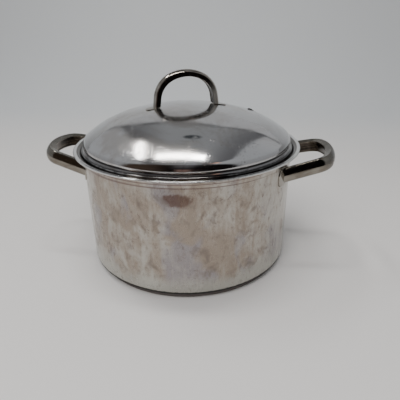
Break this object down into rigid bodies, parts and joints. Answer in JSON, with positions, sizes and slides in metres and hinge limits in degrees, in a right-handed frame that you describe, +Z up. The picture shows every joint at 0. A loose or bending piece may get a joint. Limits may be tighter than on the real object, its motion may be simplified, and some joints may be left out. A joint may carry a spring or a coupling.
{
  "type": "lidded stock pot",
  "caption": "Straight-walled stainless steel pot with a flared rim, base disc, welded loop side handles and a loose domed lid with an arched handle.",
  "frame": {"origin": "centre of the base on the table, under the middle of the overall bounding box", "axes": "+X through the two side handles, +Z up out of the pot; the lid's handle is turned 24 degrees from +X about +Z"},
  "size_m": [0.3126, 0.24, 0.202],
  "materials": {
    "satin_steel": "satin stainless steel with heat tint",
    "polished_steel": "polished stainless steel with fine scratches",
    "aluminium_core": "plain rolled aluminium, sealed inside the base"
  },
  "bodies": {
    "pot": {"pot_shell": "satin_steel", "base_core": "aluminium_core", "base_cap": "satin_steel", "right_handle_channel": "polished_steel", "right_handle_strip": "polished_steel", "right_front_flange": "satin_steel", "right_rear_flange": "satin_steel", "left_handle_channel": "polished_steel", "left_handle_strip": "polished_steel", "left_front_flange": "satin_steel", "left_rear_flange": "satin_steel"},
    "lid": {"lid_shell": "polished_steel", "lid_handle_channel": "polished_steel", "lid_handle_strip": "polished_steel", "lid_foot_left": "polished_steel", "lid_foot_right": "polished_steel"}
  },
  "joints": [
    {"name": "lid_lift", "type": "slide", "parent": "pot", "child": "lid", "axis": [0, 0, 1], "range_m": [0, 0.12]}
  ]
}
